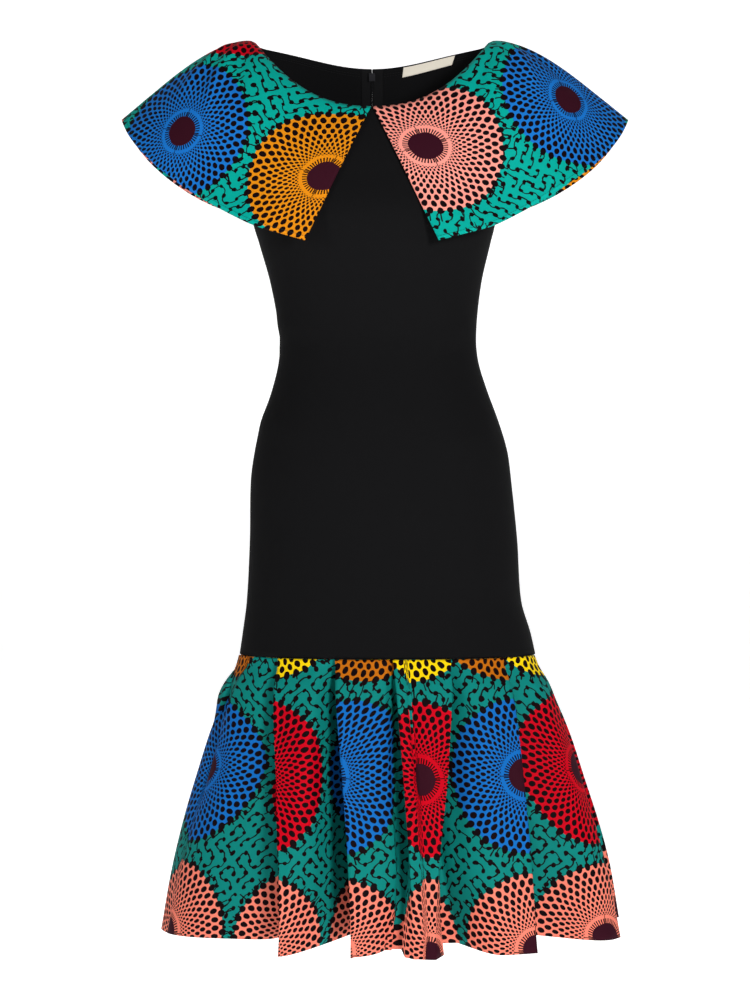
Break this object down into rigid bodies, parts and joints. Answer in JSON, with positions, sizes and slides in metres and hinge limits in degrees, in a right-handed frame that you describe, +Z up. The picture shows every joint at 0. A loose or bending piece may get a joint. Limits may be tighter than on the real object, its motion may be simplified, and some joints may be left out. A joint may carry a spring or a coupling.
{
  "type": "dress",
  "caption": "Fitted trumpet dress with a wide cape collar in two halves, a pleated print flounce and a centre-back zip, in its worn, hollow form",
  "frame": {"origin": "midway between the two shoulders, where the wearer holds the dress up", "axes": "+Z up along the dress, +X to the viewer's right, the front faces -Y"},
  "size_m": [0.6434, 0.4377, 1.1216],
  "materials": {
    "black_crepe": "plain matte black crepe",
    "wax_print": "teal cotton with a wax print of large medallions",
    "zip_tape": "black woven tape",
    "zip_coil": "black nylon coil",
    "zip_metal": "dark enamelled metal",
    "label_cloth": "cream woven label, bare"
  },
  "bodies": {
    "dress": {"body_front": "black_crepe", "body_back_left": "black_crepe", "body_back_right": "black_crepe", "collar_left": "wax_print", "collar_right": "wax_print", "under_collar_left": "wax_print", "under_collar_right": "wax_print", "flounce_front": "wax_print", "flounce_back": "wax_print", "zip_tape_left": "zip_tape", "zip_tape_right": "zip_tape", "zip_coil": "zip_coil", "zip_slider": "zip_metal", "label": "label_cloth"},
    "pull": {"zip_pull": "zip_metal"}
  },
  "joints": [
    {"name": "pull_hinge", "type": "hinge", "parent": "dress", "child": "pull", "pos_m": [-0.00009, 0.06346, -0.0232], "axis": [1, 0, 0], "range_deg": [0, 150]}
  ]
}
